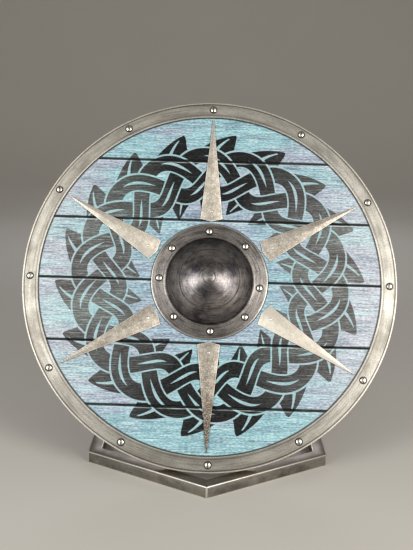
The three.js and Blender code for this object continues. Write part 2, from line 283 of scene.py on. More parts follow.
def fit(data, place, finish, slot, *nodes):
    """Puts a piece in place with its finish and compares its box with that of its nodes."""
    if place is leaned:
        data.transform(in_plane_turn)
    if not data.materials:
        data.materials.append(finish)
    put_piece(data.name, data, place, slot, *nodes)
    corners = [place @ v.co for v in data.vertices]
    low, high = zip(*[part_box(n) for n in nodes])
    off = max(max(abs(min(c[i] for c in corners) - min(b[i] for b in low)),
                  abs(max(c[i] for c in corners) - max(b[i] for b in high))) for i in range(3))
    print(f"{data.name}: {len(data.polygons)} faces, box within {off / MM:.2f} mm of {', '.join(nodes)}")


def polar(radius, turn):
    """A place on the shield's face, its turn in degrees counted from the right, anticlockwise."""
    return radius * cos(radians(turn)), radius * sin(radians(turn))


print("the shield leans", round(degrees(SHIELD_LEAN)), "degrees back")

# %% Screw seats
RIM_DRIFT = [0.4, 0, -1.6, 0, -1.5, 0.5, 1.2, 3.3, 0.5, 0, 0, -0.7]
BOSS_DRIFT = [1.9, 0.9, -6.6, 0.7, 2.6, 2, -1.8, 5.2]
RIM_SEATS = [polar(292.5, 90 - 30 * i + drift) for i, drift in enumerate(RIM_DRIFT)]
BOSS_SEATS = [polar(82.3, 90 - 45 * i + drift) for i, drift in enumerate(BOSS_DRIFT)]
HEAD_RADIUS = 5.4


def seat_shadow_and_grime(add, seats):
    """A dark ring round each screw head, painted shadow of the head with old oil, drawn 1.4 mm wide so that
    it shows.
    """
    at = on_piece(add, IN_MM_FLAT)
    nearest = None
    for seat in seats:
        away = add("VectorMath DISTANCE", at, in_plane_turn @ Vector((*seat, 0)), out="Value")
        nearest = away if nearest is None else add("Math MINIMUM", nearest, away)
    ring_shade_and_grime = add("MapRange", nearest, HEAD_RADIUS + 0.4, HEAD_RADIUS + 1.4, 0.85, 0)
    depth = add("SeparateXYZ", add("TexCoord", out="Object"), out="Z")
    return add("Math MULTIPLY", ring_shade_and_grime, add("Math GREATER_THAN", depth, -1.5 * MM))


def tell_finish(data, name, values):
    """Gives each face of a piece a number that its finish can read, or all of them the same one."""
    values = values if isinstance(values, list) else [values] * len(data.polygons)
    data.attributes.new(name, "FLOAT", "FACE").data.foreach_set("value", values)


print(len(RIM_SEATS), "screws sit in the rim and", len(BOSS_SEATS), "in the flange")

# %% [markdown]
# ## Boards: stained ash
# Wire-brushed ash was stained turquoise and violet in patches, the stain lay darker in the open
# grain, and a clear half-gloss lacquer went over it. So the colour is a slow blotch of two stains,
# cut by long thin streaks that follow the board, with a coat on top. Moving the pattern sideways
# by a different amount for each board gives each its own grain.

# %% Places on the face, in millimetres
BOARD_WIDTH, BOARD_SHIFT = 101.6, 713.0
painted_ash, add = new_finish("painted_ash")
face = add("Mapping", add("TexCoord", out="Object"), (0, 0, 0), (0, 0, -SHIELD_TURN), IN_MM)
split = add("SeparateXYZ", face)
across, up = split, split.node.outputs["Y"]
board_row = add("Math FLOOR", add("Math DIVIDE", up, BOARD_WIDTH))
along = add("Math ADD", across, add("Math MULTIPLY", board_row, BOARD_SHIFT))
on_board = add("CombineXYZ", along, up, board_row)

# %% Grain
# Ash rings are 2 to 4 mm apart on a flat-sawn face. Its pores are only 0.3 mm wide, so the fibres
# are drawn 1.5 mm wide and the open ends of pores 1.7 mm wide and 5 mm long, to show. Each wipe of
# the cloth left a smear of darker or clearer stain, and the wood took the two stains in patches.
GRAIN = {"streak": (140, 2.8, 4, 0.68), "fibre": (32, 1.5, 3, 0.7), "pore": (5, 1.7, 2, 0.6),
         "smear": (110, 13, 3, 0.55), "patch": (210, 60, 3, 0.5)}
streak, fibre, pore, smear, patch = [add("TexNoise",
                                         add("VectorMath MULTIPLY", on_board, (1 / length, 1 / width, 1)),
                                         1.0, *fineness) for length, width, *fineness in GRAIN.values()]
print("patterns of grain and stain:", ", ".join(GRAIN))

# %% Stain
# The top and bottom boards are nearly all turquoise and the right is more violet; the middle is
# bluer, and the sides are painted paler and greyer as painted sheen of the side lights on the lacquer.
less_violet = add("MapRange", add("Math ABSOLUTE", up), 150, 250, 0, 0.10)
more_violet = add("MapRange", across, 60, 250, 0, 0.09)
violet_share = add("Math ADD", add("Math SUBTRACT", patch, less_violet), more_violet)
stain = add("Mix RGBA", add("MapRange SMOOTHSTEP", violet_share, 0.42, 0.60), "#7eb1bc", "#9599b1")
radius = add("VectorMath LENGTH", add("CombineXYZ", across, up, 0), out="Value")
bluer = add("MapRange SMOOTHSTEP", radius, 190, 90, 0, 0.45)
stain = add("Mix RGBA", bluer, stain, "#7596ad")
# painted sheen: the left and right of the boards are paled towards grey
painted_pale_sides = add("MapRange SMOOTHSTEP", add("Math ABSOLUTE", across), 130, 260, 0, 0.42)
stain = add("Mix RGBA", painted_pale_sides, stain, "#c8c3c7")
# each pattern then darkens or pales it, from one value of the pattern to another, up to a share
for pattern, start, full, share, tone in (
        (smear, 0.49, 0.33, 0.50, "#4d6d86"), (smear, 0.51, 0.67, 0.40, "#a3d6dc"),
        (streak, 0.50, 0.66, 0.45, "#b4cbca"), (streak, 0.45, 0.34, 0.58, "#41586a"),
        (fibre, 0.52, 0.35, 0.72, "#34495a"), (fibre, 0.54, 0.67, 0.66, "#cddad9"),
        (pore, 0.50, 0.34, 0.48, "#34495a"), (pore, 0.52, 0.66, 0.38, "#d3e0df")):
    stain = add("Mix RGBA", add("MapRange", pattern, start, full, 0, share), stain, tone)

# %% [markdown]
# ## The printed ring
# A dark ring is printed on the boards between the boss and the spike tips: a plain plait of three
# strands with pointed leaves along both sides, a pattern as old as rope. It is easy in polar form.
# Strand k runs at radius r0 + A sin(n a + k/3 turn), and the sine of twice that angle says which
# strand passes over at a crossing.

# %% Three strands
angle = add("Math ARCTAN2", up, across)
STRAND_TURNS, STRAND_CENTRE, STRAND_SWING = 6, 181.0, 33.0
STRAND_HALF, STRAND_EDGE = 15.5, 2.6
reach, heights = [], []
for k in range(3):
    wave = add("Math MULTIPLY_ADD", angle, STRAND_TURNS, 2 * pi * k / 3)
    middle = add("Math MULTIPLY_ADD", add("Math SINE", wave), STRAND_SWING, STRAND_CENTRE)
    slope = add("Math MULTIPLY", add("Math COSINE", wave), STRAND_SWING * STRAND_TURNS / STRAND_CENTRE)
    stretch = add("Math SQRT", add("Math MULTIPLY_ADD", slope, slope, 1))
    away = add("Math DIVIDE", add("Math ABSOLUTE", add("Math SUBTRACT", radius, middle)), stretch)
    over = add("Math SINE", add("Math MULTIPLY", wave, 2))
    # height runs from 1 to 3 inside the strand and is 0 outside it
    height = add("Math MULTIPLY", add("Math ADD", over, 2), add("Math LESS_THAN", away, STRAND_HALF))
    reach.append(away)
    heights.append(height)
top = add("Math MAXIMUM", add("Math MAXIMUM", heights[0], heights[1]), heights[2])
plait = add("Math GREATER_THAN", top, 0.5)
plait_lines = None
for away, height in zip(reach, heights):
    on_top = add("Math GREATER_THAN", add("Math ADD", height, 1e-4), top)
    edge = add("Math GREATER_THAN", away, STRAND_HALF - STRAND_EDGE)
    # a leaf-shaped slit where the strand passes over, closed where it goes under
    vein = add("Math LESS_THAN", away, add("MapRange", height, 2.1, 3, -0.2, 2.3))
    line = add("Math MULTIPLY", add("Math MULTIPLY", add("Math MAXIMUM", edge, vein), on_top), plait)
    plait_lines = line if plait_lines is None else add("Math MAXIMUM", plait_lines, line)
plait_reach = STRAND_SWING + STRAND_HALF
print("the plait runs from", STRAND_CENTRE - plait_reach, "to", STRAND_CENTRE + plait_reach, "mm")

# %% Two rows of leaves
print_dark, print_lines = plait, plait_lines
LEAF_COUNT, LEAF_ROWS = 18, ((214.0, 252.0, 2.6, 0.95), (148.0, 114.0, -2.4, 0.92))
for root, tip, bend, width in LEAF_ROWS:
    share = add("MapRange", radius, root, tip)
    swept = add("Math MULTIPLY", add("Math POWER", share, 1.4), bend)
    turn = add("Math MULTIPLY", add("Math MULTIPLY_ADD", angle, LEAF_COUNT, swept), 1 / (2 * pi))
    beside = add("Math ABSOLUTE", add("Math SUBTRACT", add("Math WRAP", turn, 1, 0), 0.5))
    beside = add("Math MULTIPLY", beside, 2)
    narrowing = add("Math POWER", add("Math SUBTRACT", 1, share), 0.75)
    leaf = add("Math LESS_THAN", beside, add("Math MULTIPLY", narrowing, width))
    leaf = add("Math MULTIPLY", leaf, add("Math GREATER_THAN", share, 0.001))
    rib = add("Math LESS_THAN", beside, add("Math MULTIPLY", narrowing, 0.11))
    rib = add("Math MULTIPLY", rib, add("Math LESS_THAN", share, 0.8))
    rib = add("Math MULTIPLY", add("Math MULTIPLY", rib, leaf), add("Math SUBTRACT", 1, plait))
    print_dark = add("Math MAXIMUM", print_dark, leaf)
    print_lines = add("Math MAXIMUM", print_lines, rib)
print("leaves reach from", LEAF_ROWS[1][1], "to", LEAF_ROWS[0][1], "mm")

# %% Print over stain, joints, lacquer
# The print is a thin charcoal ink: pale fibres of the board show through it. At the left and
# right it is paled from black to grey as painted sheen of the side lights, and the stain shows through it
# along the fibres, partly wear and partly painted sheen.
ink = add("Mix RGBA", add("MapRange", pore, 0.42, 0.66, 0, 0.7), "#050404", "#2b2826")
sideways = add("Math ABSOLUTE", add("Math DIVIDE", across, radius))
side_sheen_and_wear = add("Math MULTIPLY", add("MapRange", sideways, 0.35, 1, 0, 0.75),
              add("MapRange", patch, 0.35, 0.6, 1, 0.5))
# painted sheen: grey laid over the ink at the left and right
painted_sheen_grey = add("Math MULTIPLY", side_sheen_and_wear, add("MapRange", pore, 0.36, 0.56, 0.6, 1.1))
ink = add("Mix RGBA", painted_sheen_grey, ink, "#706d69")
printed = add("Mix RGBA", print_lines, ink, add("Mix RGBA", 0.6, stain, "#93b3b6"))
worn_ink = add("MapRange", streak, 0.70, 0.60, 0.80, 0.985)
worn_and_sheen_through = add("Math MULTIPLY", side_sheen_and_wear, add("MapRange", fibre, 0.48, 0.64, 0, 0.75))
cover = add("Math MULTIPLY", print_dark, add("Math SUBTRACT", worn_ink, worn_and_sheen_through))
colour = add("Mix RGBA", cover, stain, printed)

# dark joints between the boards: dirt, and painted shade in the groove
joint_at = add("Math WRAP", add("Math ADD", add("Math DIVIDE", up, BOARD_WIDTH), 0.5), 1, 0)
from_joint = add("Math MULTIPLY", add("Math SUBTRACT", joint_at, 0.5), BOARD_WIDTH)
joint_dirt_and_shade = add("MapRange SMOOTHSTEP", add("Math ABSOLUTE", from_joint), 1.5, 2.9, 0.95, 0)
# painted highlight: below each joint the upper arris of the next board is a pale line, broken along the
# fibres
painted_lip_highlight = add("Math ABSOLUTE", add("Math ADD", from_joint, 3.3))
painted_lip_highlight = add("Math MULTIPLY", add("MapRange", painted_lip_highlight, 0.4, 1.2, 0.55, 0), add("MapRange", fibre, 0.40, 0.58))
colour = add("Mix RGBA", painted_lip_highlight, colour, "#c3d2d2")
# painted shadow on the boards along the rim's inner edge and round the boss flange, in one colour with the
# dark joints
painted_rim_shadow = add("MapRange SMOOTHSTEP", radius, 276.6, 278.4, 0, 0.95)
painted_boss_shadow = add("MapRange SMOOTHSTEP", radius, 97.4, 95.6, 0, 0.8)
painted_shade_and_dirt = add("Math MAXIMUM", add("Math MAXIMUM", joint_dirt_and_shade, painted_rim_shadow), painted_boss_shadow)
colour = add("Mix RGBA", painted_shade_and_dirt, colour, "#12181c")

grain_height = add("Math MULTIPLY_ADD", streak, 0.6, fibre)
roughness = add("MapRange", fibre, 0.3, 0.7, 0.52, 0.36)
bare_of_ink = add("MapRange", cover, 0, 1, 1, 0)
end_finish(painted_ash, add, colour, roughness, grain_height, 0.5, 0.5, IOR=1.5,
           Specular_IOR_Level=0.1, Coat_Weight=bare_of_ink, Coat_Roughness=0.38, Coat_IOR=1.5)

# %% [markdown]
# ## Bare ash for the backs
# The backs of the boards and the grip are the same ash, only oiled: warm, matt, with darker late
# wood every few millimetres. It is the same idea with fewer steps, so the two read as one timber.

# %% Oiled ash
oiled_ash, add = new_finish("oiled_ash")
timber = on_piece(add)
own_timber = add("Attribute", attribute_name="board_tone", out="Fac")
other_place = add("CombineXYZ", 0, 0, add("Math MULTIPLY", own_timber, 40))
rings_at = add("VectorMath ADD", add("VectorMath MULTIPLY", timber, (1 / 120, 1 / 4.5, 1 / 9)), other_place)
late_wood = add("TexNoise", rings_at, 1, 3, 0.55)
bare_fibre = add("TexNoise", add("VectorMath MULTIPLY", timber, (1 / 30, 1 / 1.4, 1 / 3)), 1, 2, 0.6)
colour = add("Mix RGBA", add("MapRange", late_wood, 0.38, 0.62), "#a98357", "#79532f")
colour = add("Mix RGBA", add("MapRange", bare_fibre, 0.55, 0.35, 0, 0.45), colour, "#553a22")
colour = add("Mix RGBA", add("Math MULTIPLY", own_timber, 0.45), colour, "#8a6a49")
back_joint = add("SeparateXYZ", timber, out="Z")
joint_grime = add("MapRange", back_joint, -18.15, -17.9, 0, 0.85)
joint_end = add("MapRange", back_joint, -17.2, -17.5)
colour = add("Mix RGBA", add("Math MULTIPLY", joint_grime, joint_end), colour, "#2a1d12")
roughness = add("MapRange", late_wood, 0.3, 0.7, 0.7, 0.55)
end_finish(oiled_ash, add, colour, roughness, bare_fibre, 0.5, 0.6, IOR=1.5)

# %% [markdown]
# ## Cutting the boards
# Six boards four inches wide lie edge to edge, sawn to a circle, with a round hand hole in the
# middle behind the boss. Both cuts can be written as the board's lower and upper edge at each
# place along it, so a board is a row of cross-sections from one end to the other. Each front
# arris is planed off by hand, so its chamfer is not quite even.

# %% Boards
BOARD_GAP, BOARD_FRONT, BOARD_BACK = 0.3, -2.3, -18.3
WOOD_RADIUS, HAND_HOLE, ARRIS, BACK_ARRIS = 302.7, 62.0, 1.9, 0.9
ACROSS_FRONT, SLICES = 14, 150


def board_edges(x, bottom, top):
    """The lower and upper edge of a board at x, inside the round and outside the hand hole."""
    rise = sqrt(max(WOOD_RADIUS ** 2 - x * x, 0.0))
    low, high = max(bottom, -rise), min(top, rise)
    hole = sqrt(max(HAND_HOLE ** 2 - x * x, 0.0))
    if bottom >= 0:
        low = max(low, hole)
    if top <= 0:
        high = min(high, -hole)
    return low, high


def board_section(x, bottom, top, number):
    """One cross-section of a board, round from the back's lower edge."""
    low, high = board_edges(x, bottom, top)
    width = max(high - low, 0.02)
    cut_low, cut_high = [min(ARRIS + 0.35 * noise.noise((x / 17, number * 5.1, side)),
                             width / 3) for side in (0.0, 7.0)]
    ease = min(BACK_ARRIS, width / 3)
    section = [(x, low, BOARD_BACK + ease), (x, low + ease, BOARD_BACK),
               (x, low + width - ease, BOARD_BACK), (x, low + width, BOARD_BACK + ease),
               (x, low + width, BOARD_FRONT - cut_high)]
    for k in range(ACROSS_FRONT + 1):
        y = low + width - cut_high - (width - cut_low - cut_high) * k / ACROSS_FRONT
        section.append((x, y, BOARD_FRONT - 0.12 * (1 + noise.noise((x / 60, y / 9, number * 3.0)))))
    section.append((x, low, BOARD_FRONT - cut_low))
    return section


for number in range(1, 7):
    top = BOARD_WIDTH * (4 - number) - BOARD_GAP / 2
    bottom = BOARD_WIDTH * (3 - number) + BOARD_GAP / 2
    nearest = min(abs(top), abs(bottom))
    half_length = sqrt(WOOD_RADIUS ** 2 - nearest ** 2)
    stations = [half_length * sin(pi / 2 * (2 * k / SLICES - 1)) for k in range(SLICES + 1)]
    stations = sorted(stations + [s * (HAND_HOLE - e) for s in (-1, 1) for e in (0, 0.3, 1.2)])
    board = skin(f"board_{number}", [board_section(x, bottom, top, number) for x in stations], caps=True)
    for finish in (painted_ash, oiled_ash):
        board.materials.append(finish)
    for panel in board.polygons:  # paint on the front and its chamfers, oil behind them
        panel.material_index = int(panel.center.z < (BOARD_FRONT - 5) * MM)
    tell_finish(board, "board_tone", (number * 0.37) % 1)
    fit(board, leaned, painted_ash, "painted_boards", f"plank_{number}")

# %% [markdown]
# ## Brushed steel for the rim
# The rim is mild steel, pressed to a channel, brushed round and round and lightly oiled. Fine
# scratches that all run one way stretch a reflection across them: that is anisotropy. Here they
# run round, so the sides of the rim catch the two soft boxes and its top and bottom don't.

# %% Patterns that run round
def brushed_round(add, strength):
    """The shine of steel brushed round the z axis."""
    return dict(Metallic=1.0, Anisotropic=strength, Anisotropic_Rotation=0.25,
                Tangent=add("Tangent", direction_type="RADIAL", axis="Z"))


def round_the_middle(add, ring_mm, round_mm):
    """Places for a pattern that runs round the z axis: ring_mm apart outward, round_mm long."""
    at = on_piece(add, IN_MM_FLAT)
    out_from_middle = add("VectorMath LENGTH", at, out="Value")
    direction = add("VectorMath MULTIPLY", add("VectorMath NORMALIZE", at), (150 / round_mm,) * 3)
    outward = add("CombineXYZ", 0, 0, add("Math MULTIPLY", out_from_middle, 1 / ring_mm))
    return add("VectorMath ADD", direction, outward), out_from_middle


# %% Brushed rim steel
rim_steel, add = new_finish("brushed_rim_steel")
scratch_at, from_middle = round_the_middle(add, 1.6, 60)
scratch = add("TexNoise", scratch_at, 1, 3, 0.6)
body_at = on_piece(add)
cloud = add("TexNoise", body_at, 0.03, 4, 0.6)
colour = add("Mix RGBA", add("MapRange", cloud, 0.35, 0.65), "#aba8a0", "#c2bfb6")
# scale and oil left dull patches as wide as the band, and bright ones where it was rubbed
rim_patch = add("TexNoise", round_the_middle(add, 14, 34)[0], 1, 4, 0.6)
for pattern, start, full, share, tone in (
        (scratch, 0.50, 0.32, 0.5, "#6f675e"), (rim_patch, 0.50, 0.34, 0.5, "#7f786f"),
        (rim_patch, 0.50, 0.66, 0.5, "#dedad2")):
    colour = add("Mix RGBA", add("MapRange", pattern, start, full, 0, share), colour, tone)
# painted highlight: a pale line on the rolled outer and inner edges of the band
painted_edge_highlight = add("Math MAXIMUM", add("MapRange", from_middle, 302.8, 303.6),
          add("MapRange", from_middle, 281.1, 280.4))
colour = add("Mix RGBA", painted_edge_highlight, colour, "#e6e0d6")
# painted shade: a dark line along each scored groove
for score, strength in ((301.6, 0.75), (283.4, 0.4)):
    from_shaded_score = add("Math ABSOLUTE", add("Math SUBTRACT", from_middle, score))
    colour = add("Mix RGBA", add("MapRange", from_shaded_score, 0.5, 1.2, strength, 0), colour, "#38332e")
roughness = add("MapRange", cloud, 0.35, 0.65, 0.62, 0.54)
rim_grain = add("TexNoise", body_at, 0.5, 3, 0.7)
colour = add("Mix RGBA", add("MapRange", rim_grain, 0.52, 0.38, 0, 0.5), colour, "#7d776e")
# painted shadow and old oil round each screw head of the rim
colour = add("Mix RGBA", seat_shadow_and_grime(add, RIM_SEATS), colour, "#2b2723")
rim_height = add("Math MULTIPLY_ADD", scratch, 0.6, rim_grain)
end_finish(rim_steel, add, colour, roughness, rim_height, 0.3, 0.3, **brushed_round(add, 0.70))

# %% [markdown]
# ## The rim
# A ring of 2 mm steel wraps the edge of the boards, with a 25 mm band in front and behind. Its
# section is drawn once and turned. The edges are rolled over, and a scored line runs just inside
# each in front, where the roller's shoulder pressed.

# %% Rim
RIM_OUT, RIM_IN, RIM_BACK, SHEET = 305.0, 280.0, -20.6, 2.0
RIM_MIDDLE, ROLL, BACK_ROLL, SCORE_IN = (RIM_OUT + RIM_IN) / 2, 1.1, 0.9, 3.4


def rolled_edge(centre_r, centre_z, size, start, end, count=5):
    """A quarter-round edge from one angle to another, in degrees."""
    turns = [radians(start + (end - start) * k / count) for k in range(count + 1)]
    return [(centre_r + size * cos(t), centre_z + size * sin(t)) for t in turns]


def scored_line(r, depth=0.35, half=0.7):
    """A shallow groove in the front of the band, crossed outwards."""
    return [(r - half, 0), (r - half * 0.4, -depth), (r + half * 0.4, -depth), (r + half, 0)]


rim_profile = (
    rolled_edge(RIM_IN + ROLL, -ROLL, ROLL, 180, 90) + scored_line(RIM_IN + SCORE_IN) + [(RIM_MIDDLE, 0)]
    + scored_line(RIM_OUT - SCORE_IN) + rolled_edge(RIM_OUT - ROLL, -ROLL, ROLL, 90, 0)
    + rolled_edge(RIM_OUT - ROLL, RIM_BACK + ROLL, ROLL, 0, -90) + [(RIM_MIDDLE, RIM_BACK)]
    + rolled_edge(RIM_IN + BACK_ROLL, RIM_BACK + BACK_ROLL, BACK_ROLL, 270, 180)
    + [(RIM_IN, RIM_BACK + SHEET), (RIM_OUT - SHEET, RIM_BACK + SHEET)]
    + [(RIM_OUT - SHEET, -SHEET), (RIM_IN, -SHEET)])
fit(turned("rim_channel", rim_profile, 288), leaned, rim_steel, "rim_steel", "rim")

# %% [markdown]
# ## Spun steel for the boss
# The boss was spun on a lathe from a flat disc and darkened. The spinning tool leaves rings, close
# and uneven, and where it was polished the dark has gone thin. So the colour is gunmetal, lighter
# in patches on the crown, with rings in the colour, the roughness and the bump.

# %% Dark spun steel
spun_steel, add = new_finish("dark_spun_steel")
ring_at, boss_radius = round_the_middle(add, 2.2, 70)
tool_ring = add("TexNoise", ring_at, 1, 4, 0.65)
fine_ring = add("TexNoise", round_the_middle(add, 0.9, 25)[0], 1, 2, 0.6)
rubbed_at = on_piece(add)
rubbed = add("TexNoise", rubbed_at, 0.035, 4, 0.6)
on_flange = add("MapRange", boss_radius, 69, 72)
thinned = add("MapRange", rubbed, 0.35, 0.65)
dome_colour = add("Mix RGBA", thinned, "#49474c", "#8c8683")
flange_colour = add("Mix RGBA", thinned, "#807b78", "#a29d99")
# painted highlight: the crown is lighter towards its centre
painted_crown_highlight = add("MapRange SMOOTHSTEP", boss_radius, 24, 5, 0, 0.4)
dome_colour = add("Mix RGBA", painted_crown_highlight, dome_colour, "#b5b0ac")
# painted dark reflection: the foot of the dome is darker all round
painted_dark_foot = add("MapRange SMOOTHSTEP", boss_radius, 49, 69, 0, 0.32)
dome_colour = add("Mix RGBA", painted_dark_foot, dome_colour, "#231f25")
colour = add("Mix RGBA", on_flange, dome_colour, flange_colour)
colour = add("Mix RGBA", add("MapRange", tool_ring, 0.52, 0.36, 0, 0.6), colour, "#28252a")
colour = add("Mix RGBA", add("MapRange", fine_ring, 0.60, 0.74, 0, 0.45), colour, "#b3aca6")
# light and dark rings beside the lathe's centre mark and the tool step: painted highlight and painted shade
# of these small steps
for mark, half_width, strength, tone in ((7.6, 1.5, 0.4, "#b7b1ab"), (9.6, 1.4, 0.5, "#1f1d1e"),
                                        (48.5, 1.5, 0.45, "#262425"), (50.5, 1.3, 0.2, "#9b9690")):
    from_mark = add("Math ABSOLUTE", add("Math SUBTRACT", boss_radius, mark))
    on_mark = add("MapRange", from_mark, half_width * 0.3, half_width, strength, 0)
    on_mark = add("Math MULTIPLY", on_mark, add("MapRange", rubbed, 0.42, 0.58, 0.2, 1.2))
    colour = add("Mix RGBA", on_mark, colour, tone)
speckle = add("TexNoise", rubbed_at, 0.45, 3, 0.7)
flange_speckle = add("Math MULTIPLY", on_flange, add("MapRange", speckle, 0.52, 0.38, 0, 0.55))
colour = add("Mix RGBA", flange_speckle, colour, "#494340")
# painted highlight: a pale line on the flange's rolled edge
colour = add("Mix RGBA", add("MapRange", boss_radius, 93.2, 94.6), colour, "#cfc8be")
# painted shadow and old oil round each screw head of the flange
colour = add("Mix RGBA", seat_shadow_and_grime(add, BOSS_SEATS), colour, "#1b191a")
# painted shade: a dark line in the groove where the dome meets the flange
from_shaded_groove = add("Math ABSOLUTE", add("Math SUBTRACT", boss_radius, 70.8))
colour = add("Mix RGBA", add("MapRange", from_shaded_groove, 0.8, 2.2, 0.85, 0), colour, "#161516")
# emery strokes taken across the rings, mostly one way, as the dome was cleaned up by hand
stroke_at = add("Mapping", rubbed_at, (0, 0, 0), (0, 0, radians(-35)), (1 / 34, 1 / 0.9, 0))
stroke = add("TexNoise", stroke_at, 1, 2, 0.5)
strokes = add("Math MULTIPLY", add("MapRange", stroke, 0.58, 0.72, 0, 0.4),
              add("MapRange", rubbed, 0.42, 0.56))
colour = add("Mix RGBA", strokes, colour, "#bdb7b2")
roughness = add("MapRange", tool_ring, 0.3, 0.7, 0.31, 0.43)
ring_height = add("Math MULTIPLY_ADD", tool_ring, 0.7, fine_ring)
end_finish(spun_steel, add, colour, roughness, ring_height, 0.35, 0.4, **brushed_round(add, 0.52))

# %% [markdown]
# ## The boss
# A hollow cap with a flat flange, all one 2 mm sheet. Its outline runs from the crown to the edge
# of the flange and back inside, and is turned. The crown keeps the small round mark of the
# lathe's centre, and a faint step where the tool changed its angle.

# %% Boss
DOME_RADIUS, DOME_HEIGHT, FLANGE_RADIUS = 70.5, 36.0, 95.0
MARK_RADIUS, STEP_RADIUS, FLANGE_ROLL = 8.0, 48.0, 0.9
BALL = (DOME_RADIUS ** 2 + DOME_HEIGHT ** 2) / (2 * DOME_HEIGHT)


def dome_z(r):
    """Height of the dome's outside above the flange at a radius."""
    return sqrt(BALL ** 2 - r * r) - (BALL - DOME_HEIGHT)


def crown(r):
    """The dome with its lathe mark and tool step."""
    centre_mark = -0.2 * exp(-((r - MARK_RADIUS) / 1.1) ** 2)
    past_step = r - STEP_RADIUS
    tool_step = -0.22 / (1 + exp(past_step / -0.5)) * max(0.0, 1 - past_step / 22)
    return dome_z(r) + centre_mark + tool_step - 0.02


outside = [(r, crown(r)) for r in [k * DOME_RADIUS / 90 for k in range(90)]]
flange = [(DOME_RADIUS + out, z) for out, z in ((-0.1, 0.3), (0.1, -1.0), (0.8, -0.9), (1.8, 0))]
flange += [(r, 0) for r in (76, 82, 88, 92)]
flange += rolled_edge(FLANGE_RADIUS - FLANGE_ROLL, -FLANGE_ROLL, FLANGE_ROLL, 90, 0, 4)
inner_radii = [(DOME_RADIUS - SHEET) * (1 - k / 40) for k in range(41)]
inner = [(r, max(dome_z(r) - SHEET, -SHEET)) for r in inner_radii]
boss_profile = outside + flange + [(FLANGE_RADIUS, -SHEET)] + inner
fit(turned("boss_cap", boss_profile, 192), leaned, spun_steel, "boss_steel", "boss")

# %% [markdown]
# ## Satin steel for the spikes
# The spikes were cut from flat bar and rubbed down by hand with fine paper, so they are pale,
# slightly warm and mottled, with bright cut edges. Rubbing has no one direction that the eye can
# follow at this size, so an even, fairly rough metal with slow clouds is the closest.

# %% Hand-rubbed spike steel
spike_steel, add = new_finish("hand_rubbed_steel")
plate_at = on_piece(add)
mottle = add("TexNoise", plate_at, 0.085, 4, 0.65)
rub_line = add("TexNoise", add("VectorMath MULTIPLY", plate_at, (1 / 1.6, 1 / 9, 1)), 1, 2, 0.5)
pit = add("TexNoise", plate_at, 0.42, 3, 0.7)
colour = add("Mix RGBA", add("MapRange", mottle, 0.36, 0.64), "#938c82", "#bdb7ad")
for pattern, start, full, share, tone in (
        (rub_line, 0.48, 0.30, 0.50, "#6f6557"), (pit, 0.52, 0.38, 0.52, "#6f6250"),
        (pit, 0.54, 0.66, 0.40, "#dcd5c9")):
    colour = add("Mix RGBA", add("MapRange", pattern, start, full, 0, share), colour, tone)
# painted light: some plates are painted brighter for how each faces the lamps, and the filed bevels pale
# with a painted highlight
for told, tone in (("painted_plate_light", "#f0eade"), ("filed_edge_and_highlight", "#f3ece0")):
    colour = add("Mix RGBA", add("Attribute", attribute_name=told, out="Fac"), colour, tone)
# painted dark reflection: the bottom plate darkens towards its tip
up_plate = add("MapRange", add("SeparateXYZ", plate_at, out="Y"), 25, 120)
painted_dark_reflection = add("Math MULTIPLY", add("Attribute", attribute_name="painted_dark_reflection", out="Fac"), up_plate)
painted_dark_reflection = add("Math MULTIPLY", painted_dark_reflection, add("MapRange", pit, 0.60, 0.40, 0.45, 1.15))
colour = add("Mix RGBA", painted_dark_reflection, colour, "#46392e")
roughness = add("MapRange", mottle, 0.3, 0.7, 0.62, 0.50)
end_finish(spike_steel, add, colour, roughness, mottle, 0.3, 0.4, Metallic=1.0)

# %% [markdown]
# ## Spikes
# Each spike is a long thin triangle of 2.5 mm plate with a blunt point at its base, towards the
# boss. We draw it along y, extrude it and bevel its upper edges as a file would. The bevel's narrow
# faces get a mark and are painted pale, as filed steel with a painted highlight. No two spikes were set
# quite evenly.

# %% Spike plate
SPIKE_WIDTH, SPIKE_LENGTH, SPIKE_POINT, SPIKE_THICK, SPIKE_BASE = 36.4, 171.0, 4.3, 2.5, 103.7
SPIKE_TIP, SPIKE_BEVEL = 0.6, 0.5
SPIKE_SEAT = [90, 30, -30.5, -89, -146.5, 151.5]
SPIKE_AIM = [90.5, 28, -32, -89.5, -151, 149]
PAINTED_PLATE_LIGHT = [0.08, 0.04, 0.45, 0.0, 0.03, 0.23]
DARK_REFLECTION_SPIKE = 4


def mark_filed_and_highlit(data, narrower_than, upto=None):
    """Gives each narrow face, such as a bevel's, 1 in the attribute filed_edge_and_highlight, and the rest 0."""
    marks = []
    for panel in data.polygons[:upto]:
        corners = [data.vertices[i].co for i in panel.vertices]
        longest = max((a - b).length for a, b in zip(corners, corners[1:] + corners[:1]))
        marks.append(float(panel.area / longest < narrower_than * MM))
    marks += [0.0] * (len(data.polygons) - len(marks))
    tell_finish(data, "filed_edge_and_highlight", marks)
    return int(sum(marks))


def cut_plate(name, outline, thick, bevel):
    """A plate of an outline, its upper edges filed."""
    mesh = bmesh.new()
    base = mesh.faces.new([mesh.verts.new(Vector((x, y, 0)) * MM) for x, y in outline])
    raised = bmesh.ops.extrude_face_region(mesh, geom=[base])["geom"]
    upper = [v for v in raised if isinstance(v, bmesh.types.BMVert)]
    bmesh.ops.translate(mesh, verts=upper, vec=(0, 0, thick * MM))
    top_edges = [e for e in mesh.edges if all(v in upper for v in e.verts)]
    bmesh.ops.bevel(mesh, geom=top_edges, offset=bevel * MM, segments=2, profile=0.5, affect="EDGES")
    data = finish_mesh(name, mesh, 40)
    mark_filed_and_highlit(data, 1.2)
    return data


